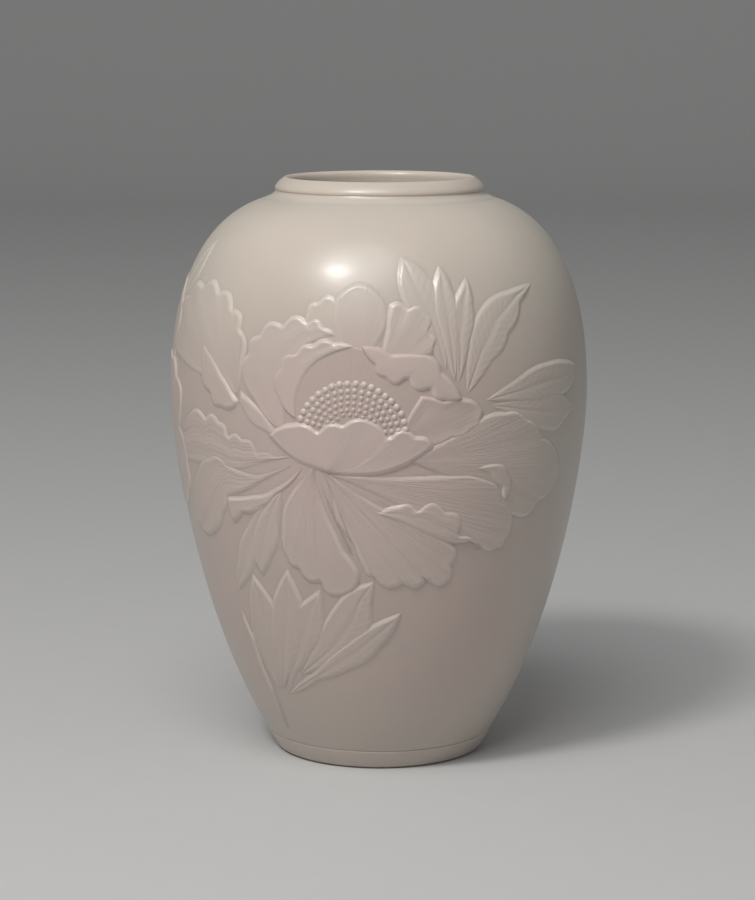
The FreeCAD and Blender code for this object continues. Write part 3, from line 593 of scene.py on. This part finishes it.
def leaf_height(outline, turn, along):
    """A leaf's two halves fall to the midrib, with side veins pressed in."""
    left, right = outline.left.at(along), outline.right.at(along)
    from_rib = abs(turn) * math.dist(left, right) / 2
    rib = -RIB_DEPTH * math.exp(-(from_rib / RIB_WIDTH) ** 2)
    vein = ((along * outline.length - from_rib * VEIN_SLOPE) / VEIN_GAP) % 1
    pressed = -VEIN_DEPTH * math.exp(-((vein - 0.5) / VEIN_WIDTH) ** 2)
    pressed *= smooth(*VEIN_STARTS, from_rib)
    return LEAF_CROWN * math.sin(math.pi * abs(turn)) + rib + pressed


def laid_clay(name):
    """Roll, cut and lay one piece of the spray: a closed skin, its edge sunk in the wall."""
    outline = Outline(name)
    leaf = "leaf" in name
    edge = min(EDGE_WIDTH, outline.width * NARROW_EDGE)
    pooled_and_shade = POOLED_AND_SHADE.get(name, 0)
    rows = whole_within(outline.length / CELL_LENGTH, *ROW_LIMITS)
    columns = whole_within(outline.width / CELL_WIDTH, *COLUMN_LIMITS)
    mesh = bmesh.new()
    bmesh.ops.create_grid(mesh, x_segments=columns, y_segments=rows, size=1)
    number = mesh.verts.layers.int.new("number")
    flow = mesh.loops.layers.uv.new("flow")
    tone = mesh.verts.layers.float.new("tone")
    bottoms = []
    for n, vert in enumerate(mesh.verts):
        turn = math.sin(math.pi / 2 * vert.co.x)
        along = (vert.co.y + 1) / 2
        if outline.kind == "fan":
            along = math.sin(math.pi / 2 * along)
        spot = outline.spot(turn, along)
        distance = outline.edge_distance(spot)
        height = outline.clay_height(turn, along, spot, distance)
        if leaf:
            height += leaf_height(outline, turn, along)
        past_root = smooth(*PAST_ROOT, along)
        height += RIM_RISE * math.exp(-((distance - RIM_PLACE) / RIM_WIDTH) ** 2) * past_root
        slope = edge * min(ROOT_EDGE + ROOT_EDGE_GROWTH * along, 1)
        fall = smooth(0, slope, distance)
        vert[number] = n
        # Paler along the top of the edge's slope: thinner glaze and a painted highlight
        thin_glaze_and_highlight = math.exp(-((distance / edge - THIN_GLAZE_AND_HIGHLIGHT_PLACE) / THIN_GLAZE_AND_HIGHLIGHT_WIDTH) ** 2) * past_root
        # Lower deep in the flower: pooled glaze and painted shade
        vert[tone] = MIDDLE_TONE + THIN_GLAZE_AND_HIGHLIGHT_TONE * thin_glaze_and_highlight - pooled_and_shade
        bottoms.append(outline.place(spot, -SUNK))
        for loop in vert.link_loops:
            loop[flow].uv = (turn * outline.width / 2, along * outline.length)
        vert.co = outline.place(spot, height * fall - EDGE_DROP * (1 - fall))
    under = bmesh.ops.extrude_face_region(mesh, geom=mesh.faces[:])["geom"]
    for vert in under:
        if isinstance(vert, bmesh.types.BMVert):
            vert.co = bottoms[vert[number]]
    bmesh.ops.remove_doubles(mesh, verts=mesh.verts[:], dist=WELD * MM)
    bmesh.ops.recalc_face_normals(mesh, faces=mesh.faces[:])
    return mesh


# The stamens' beads: rows round a centre, each row's radius, bead's width and count, and
# where a row starts and how far it runs in degrees

BEAD_ROWS = [(22.0, 3.2, 19), (19.1, 2.7, 19), (16.5, 2.5, 17), (14.0, 2.4, 15), (11.6, 2.3, 13),
             (9.4, 2.2, 10)]
BEAD_CENTRE = (1.2, 13.4)
BEAD_START = -76.0
BEAD_SPREAD = 161.0
BEAD_SIDES = 14
BEAD_RINGS = 9

# How high a bead sits, less for a wider one, how uneven the hand is from row to row and
# bead to bead, and how the rows' tone fades inwards, so that the outer rows are paler as a painted
# highlight and the inner rows darker as painted shade deep in the flower. The unevenness is drawn
# from a fixed seed, so that each run lays the same beads.

BEAD_SEAT = 0.55
BEAD_SINK = 0.25
BEAD_SEED = 7
ROW_WOBBLE = 3.1
BEAD_WOBBLE = 1.7
WOBBLE_SEED = 2.4
BEAD_TURN = 0.02
BEAD_DRIFT = 0.5
BEAD_UNEVEN = 0.08
ROW_TONE = 0.95
ROW_FADE = 0.16


def stamens():
    """Beads of clay in rows on the flower's bed."""
    noise.seed_set(BEAD_SEED)
    mesh = bmesh.new()
    tone = mesh.verts.layers.float.new("tone")
    for row, (radius, width, count) in enumerate(BEAD_ROWS):
        for n in range(count):
            share = (n + 0.5) / count
            spot = Vector((row * ROW_WOBBLE, n * BEAD_WOBBLE, WOBBLE_SEED))
            wobble = noise.noise_vector(spot)
            angle = math.radians(BEAD_START + BEAD_SPREAD * share) + BEAD_TURN * wobble.x
            away = radius + BEAD_DRIFT * wobble.y
            across = BEAD_CENTRE[0] + away * math.sin(angle)
            level = FLOWER_HEIGHT + BEAD_CENTRE[1] + away * math.cos(angle)
            wall = wall_radius(level)
            facing = math.radians(FLOWER_TURN) + math.asin(across / wall)
            height = BEAD_SEAT - BEAD_SINK * width
            reach = (wall + height) * MM
            centre = Vector((reach * math.sin(facing), -reach * math.cos(facing), level * MM))
            made = bmesh.ops.create_uvsphere(
                mesh, u_segments=BEAD_SIDES, v_segments=BEAD_RINGS,
                radius=width * MM / 2 * (1 + BEAD_UNEVEN * wobble.z))
            bmesh.ops.translate(mesh, verts=made["verts"], vec=centre)
            for vert in made["verts"]:
                # Outer rows paler as a painted highlight, inner rows darker as painted shade
                vert[tone] = ROW_TONE - ROW_FADE * row
    return mesh


# Finishes


class Value:
    """A shader output that Python's own arithmetic works on."""

    def __init__(self, finish, socket):
        self.finish = finish
        self.socket = socket

    def __add__(self, other):
        return self.finish.math("ADD", self, other)

    def __mul__(self, other):
        return self.finish.math("MULTIPLY", self, other)

    __radd__ = __add__
    __rmul__ = __mul__


class Finish:
    """One material and the nodes that it is made of."""

    def __init__(self, name):
        self.material = bpy.data.materials.new(name)
        self.material.use_nodes = True
        self.tree = self.material.node_tree
        self.shader = self.tree.nodes["Principled BSDF"]

    def node(self, kind, settings, inputs, output=0):
        """Any node: its settings first, then its inputs' values or links."""
        made = self.tree.nodes.new(kind)
        for key, value in settings.items():
            setattr(made, key, value)
        for key, value in inputs.items():
            self.feed(made.inputs[key], value)
        return Value(self, made.outputs[output])

    def feed(self, socket, value):
        """Give a socket a link or a plain value."""
        if isinstance(value, Value):
            self.tree.links.new(value.socket, socket)
        else:
            socket.default_value = value

    def math(self, operation, first, second):
        """One step of arithmetic."""
        return self.node("ShaderNodeMath", {"operation": operation}, {0: first, 1: second})

    def noise(self, vector, scale, detail=3.0):
        """Soft noise from 0 to 1."""
        return self.node("ShaderNodeTexNoise", {}, {
            "Vector": vector, "Scale": scale, "Detail": detail, "Roughness": 0.5})

    def ease(self, value, low, high):
        """0 at low and 1 at high, with a soft step between."""
        return self.node("ShaderNodeMapRange", {"interpolation_type": "SMOOTHSTEP"}, {
            "Value": value, "From Min": low, "From Max": high})

    def mix(self, factor, first, second):
        """Blend two colours."""
        inputs = {0: factor, 6: first, 7: second}
        return self.node("ShaderNodeMix", {"data_type": "RGBA"}, inputs, 2)

    def place(self):
        """The spot on the vase, in metres."""
        return self.node("ShaderNodeTexCoord", {}, {}, "Object")

    def split(self, vector, axis):
        """One axis of a spot: 0 across, 1 in depth, 2 up."""
        return self.node("ShaderNodeSeparateXYZ", {}, {0: vector}, axis)

    def bump(self, height, depth, strength):
        """A normal from a height between 0 and 1 that stands for a depth in metres."""
        return self.node("ShaderNodeBump", {}, {
            "Height": height, "Distance": depth, "Strength": strength})

    def give(self, **inputs):
        """Feed the shader; an underscore stands for a space."""
        for key, value in inputs.items():
            self.feed(self.shader.inputs[key.replace("_", " ")], value)
        return self.material


# The glaze: creamier on the shoulder and rosier about the belly, where its darkening is painted
# shade; greener and darker at the right and the foot, which is painted shade; rosier about the
# bloom; paler where it thins, with a painted highlight, and darker where it pools, with painted
# shade deep in the flower

CREAM = (0.650, 0.578, 0.503, 1)
# The blush is rosier than the cream and darker, and the darkening is painted shade
BLUSH_AND_SHADE = (0.550, 0.452, 0.405, 1)
# A darker green: painted shade at the right and the foot, and a real tint in the clouds
CELADON_AND_SHADE = (0.490, 0.480, 0.420, 1)
ROSE = (0.610, 0.470, 0.440, 1)
# Pale: thinner glaze on the edges, with a painted highlight
PALE = (0.760, 0.700, 0.620, 1)
# Deep: pooled glaze, with painted shade deep in the flower
DEEP = (0.450, 0.355, 0.310, 1)

# Where each of them starts and where it is full, in metres on the vase or as a share of
# the clouds or of the tone, and how strong it is there

# Where the shoulder's cream turns to the darker belly: painted shade with a rosier tint
BLUSH_AND_SHADE_LEVELS = (0.25, 0.17)
BLUSH_AND_SHADE_DRIFT = 0.03
DRIFT_SCALE = 9.0
# Darker and greener towards the foot: painted shade
FOOT_SHADE_LEVELS = (0.055, 0.012)
FOOT_SHADE = 0.35
# The right side turns darker and greener: painted shade
SIDE_SHADE_REACH = (0.035, 0.095)
SIDE_SHADE = 0.6
CLOUD_SCALE = 26.0
CLOUD_EDGES = (0.35, 0.75)
CLOUD_GREEN = 0.16
BLOOM_CENTRE = (-0.0125, -0.089, 0.148)
BLOOM_REACH = (0.065, 0.02)
BLOOM_ROSE = 0.7
# The pale rims are thinner glaze with a painted highlight
PALE_TONES = (0.55, 1.0)
CARVED_PALE = 0.04
# The deep tone is pooled glaze with painted shade
DEEP_TONES = (0.5, 0.0)
POOLED_AND_SHADE_DEEP = 0.45

# The surface's relief in metres, its ripples and specks, how the shine varies, and how the
# carver's combed lines are drawn out

SURFACE_DEPTH = 0.00035
SURFACE_STRENGTH = 0.55
RIPPLE_SCALE = 90.0
RIPPLE_SHARE = 0.5
SPECK_SCALE = 700.0
SPECK_SHARE = 0.04
SHINE_SCALE = 160.0
SHINE_SHARE = 0.07
LINE_STRETCH = (1.0, 0.055, 1.0)
LINE_SCALE = 0.85

# How strongly and how deep light glows through the wall's glaze, and on the carved pieces

WALL_GLOW = (0.6, 0.003)
CARVED_GLOW = (0.15, 0.0015)
GLOW_COLOURS = (1.0, 0.75, 0.6)

# The floor's paper, and its grain

PAPER = (0.60, 0.60, 0.60, 1)
PAPER_GRAIN = (0.62, 0.62, 0.615, 1)
GRAIN_SCALE = 60.0


def glaze_colour(finish, place):
    """Ivory glaze, creamier on the shoulder and a little rosier and darker about the belly; the
    darkening, and the darker green at the right and the foot, are painted shade.
    """
    # Painted shade: darker and rosier below the shoulder
    level = finish.split(place, 2) + finish.noise(place, DRIFT_SCALE, detail=2.0) * BLUSH_AND_SHADE_DRIFT
    colour = finish.mix(finish.ease(level, *BLUSH_AND_SHADE_LEVELS), CREAM, BLUSH_AND_SHADE)
    away = finish.node("ShaderNodeVectorMath", {"operation": "DISTANCE"},
                       {0: place, 1: BLOOM_CENTRE}, "Value")
    colour = finish.mix(finish.ease(away, *BLOOM_REACH) * BLOOM_ROSE, colour, ROSE)
    # Painted shade: the right side darker and greener
    side = finish.ease(finish.split(place, 0), *SIDE_SHADE_REACH) * SIDE_SHADE
    clouds = finish.noise(place, CLOUD_SCALE, detail=4.0)
    cloud = finish.ease(clouds, *CLOUD_EDGES) * CLOUD_GREEN
    # Painted shade: darker and greener towards the foot
    foot = finish.ease(finish.split(place, 2), *FOOT_SHADE_LEVELS) * FOOT_SHADE
    # The clouds' green is a real tint; the side's and the foot's are painted shade
    return finish.mix(side + cloud + foot, colour, CELADON_AND_SHADE)


def glaze(name, carved=False, striped=0.0, pale=0.3, roughness=0.31):
    """The vase's glaze. On carved pieces it thins to pale near their edges, with a painted
    highlight, and it pools and darkens deep in the flower, with painted shade."""
    finish = Finish(name)
    place = finish.place()
    colour = glaze_colour(finish, place)
    height = finish.noise(place, RIPPLE_SCALE) * RIPPLE_SHARE
    height = height + finish.noise(place, SPECK_SCALE, detail=2.0) * SPECK_SHARE
    if carved:
        tone = finish.node("ShaderNodeAttribute", {"attribute_name": "tone"}, {}, "Fac")
        # Paler near the edges: thinner glaze and a painted highlight
        thin_glaze_and_highlight = finish.ease(tone, *PALE_TONES) * pale + CARVED_PALE
        colour = finish.mix(thin_glaze_and_highlight, colour, PALE)
        # Darker where the tone is low: pooled glaze and painted shade deep in the flower
        colour = finish.mix(finish.ease(tone, *DEEP_TONES) * POOLED_AND_SHADE_DEEP, colour, DEEP)
    if striped:
        flow = finish.node("ShaderNodeUVMap", {"uv_map": "flow"}, {})
        drawn = finish.node("ShaderNodeMapping", {}, {"Vector": flow, "Scale": LINE_STRETCH})
        height = height + finish.noise(drawn, LINE_SCALE, detail=2.5) * striped
    shine = finish.noise(place, SHINE_SCALE) * SHINE_SHARE + roughness
    normal = finish.bump(height, SURFACE_DEPTH, SURFACE_STRENGTH)
    glow, glow_depth = CARVED_GLOW if carved else WALL_GLOW
    return finish.give(Base_Color=colour, Roughness=shine, Normal=normal, IOR=1.5,
                       Subsurface_Weight=glow, Subsurface_Scale=glow_depth,
                       Subsurface_Radius=GLOW_COLOURS, Coat_Weight=0.15, Coat_Roughness=0.15)


def floor_finish():
    """Pale paper with a faint grain."""
    finish = Finish("floor_paper")
    grain = finish.noise(finish.place(), GRAIN_SCALE, detail=4.0)
    return finish.give(Base_Color=finish.mix(grain, PAPER, PAPER_GRAIN), Roughness=0.75)


# The vase

wall_glaze = glaze("wall_glaze")
petal_glaze = glaze("petal_glaze", carved=True, striped=0.7)
combed_glaze = glaze("combed_glaze", carved=True, striped=1.9)
leaf_glaze = glaze("leaf_glaze", carved=True, striped=0.7, pale=0.2)
bead_glaze = glaze("bead_glaze", carved=True, pale=0.35, roughness=0.32)
foot_glaze = glaze("foot_glaze", roughness=0.33)

body = new_piece("glazed_body", thrown(body_section()), wall_glaze, "wall_glaze",
                 ["lower_body", "upper_body"])
foot = new_piece("foot_ring_turned", thrown(foot_section(), FOOT_SOFTENED, FOOT_SOFTENING),
                 foot_glaze, "foot_glaze", ["foot_ring"])
mouth = new_piece("mouth_ring_turned", thrown(mouth_section()), wall_glaze, "wall_glaze",
                  ["mouth_ring"])
for turned in (body, foot, mouth):
    turned.data.set_sharp_from_angle(angle=math.radians(CRISP_ANGLE))


def finish_of(name):
    """A laid piece's glaze, and the name of the slot that it belongs to."""
    if "leaf" in name or "stem" in name:
        return leaf_glaze, "leaf_glaze"
    if name.startswith(("guard", "bottom", "ribbon")):
        return combed_glaze, "petal_glaze"
    return petal_glaze, "petal_glaze"


for name in OUTLINES:
    finish, slot = finish_of(name)
    new_piece(name + "_laid", laid_clay(name), finish, slot, [name])
new_piece("stamens", stamens(), bead_glaze, "petal_glaze", [])

# Floor, light and camera, in metres and degrees. A lamp's row: the direction it shines from,
# its distance, width, height, power and colour.

FLOOR_HALF = 14
SWEEP_START = 3.2
SWEEP_RADIUS = 1.2
SWEEP_STEPS = 16
SWEEP_TOP = 5.0
AIM = (0, 0, 0.15)
LAMPS = {
    "key": ((-0.344, -0.551, 0.760), 1.6, 0.34, 0.24, 9.0, (1.0, 0.98, 0.95)),
    "wide": ((-0.27, -0.82, 1.25), 2.6, 1.8, 1.8, 26.5, (1.0, 1.0, 1.0)),
}
SKY_STRENGTH = 0.23
CAMERA_PLACE = (0, -1.188, 0.3252)
CAMERA_DIP = 9.29
CAMERA_LENS = 110.38
CAMERA_SENSOR = 36
CAMERA_SHIFT = -0.0022


def add_floor():
    """A pale sweep: a floor that turns up far behind the vase."""
    mesh = bmesh.new()
    path = [(-FLOOR_HALF, 0), (SWEEP_START, 0)]
    for n in range(1, SWEEP_STEPS + 1):
        angle = math.pi / 2 * n / SWEEP_STEPS
        path.append((SWEEP_START + SWEEP_RADIUS * math.sin(angle),
                     SWEEP_RADIUS - SWEEP_RADIUS * math.cos(angle)))
    path.append((SWEEP_START + SWEEP_RADIUS, SWEEP_TOP))
    spots = [mesh.verts.new((-FLOOR_HALF, along, up)) for along, up in path]
    edges = [mesh.edges.new(pair) for pair in zip(spots, spots[1:])]
    grown = bmesh.ops.extrude_edge_only(mesh, edges=edges)["geom"]
    moved = [item for item in grown if isinstance(item, bmesh.types.BMVert)]
    bmesh.ops.translate(mesh, verts=moved, vec=(2 * FLOOR_HALF, 0, 0))
    bmesh.ops.recalc_face_normals(mesh, faces=mesh.faces[:])
    data = bpy.data.meshes.new("sweep")
    mesh.to_mesh(data)
    mesh.free()
    data.materials.append(floor_finish())
    data.shade_smooth()
    sweep = bpy.data.objects.new("sweep", data)
    bpy.context.collection.objects.link(sweep)


def add_softbox(name, direction, distance, width, height, power, colour):
    """A soft lamp that faces the vase's middle."""
    away = Vector(direction).normalized()
    data = bpy.data.lights.new(name, "AREA")
    data.shape = "ELLIPSE"
    data.size = width
    data.size_y = height
    data.energy = power
    data.color = colour
    lamp = bpy.data.objects.new(name, data)
    lamp.location = Vector(AIM) + away * distance
    lamp.rotation_euler = away.to_track_quat("Z", "Y").to_euler()
    bpy.context.collection.objects.link(lamp)


def add_sky():
    """An even white light from all round."""
    world = bpy.data.worlds.new("studio")
    world.use_nodes = True
    background = world.node_tree.nodes["Background"]
    background.inputs["Color"].default_value = (1.0, 1.0, 1.0, 1)
    background.inputs["Strength"].default_value = SKY_STRENGTH
    bpy.context.scene.world = world


def add_camera():
    """The photograph's view: a little over the vase, looking slightly down."""
    data = bpy.data.cameras.new("camera")
    data.lens = CAMERA_LENS
    data.sensor_width = CAMERA_SENSOR
    data.shift_x = CAMERA_SHIFT
    camera = bpy.data.objects.new("camera", data)
    camera.location = CAMERA_PLACE
    camera.rotation_euler = (math.radians(90 - CAMERA_DIP), 0, 0)
    bpy.context.collection.objects.link(camera)
    bpy.context.scene.camera = camera


add_floor()
for lamp_name, lamp_row in LAMPS.items():
    add_softbox(lamp_name, *lamp_row)
add_sky()
add_camera()
bpy.context.scene.view_settings.view_transform = "Standard"
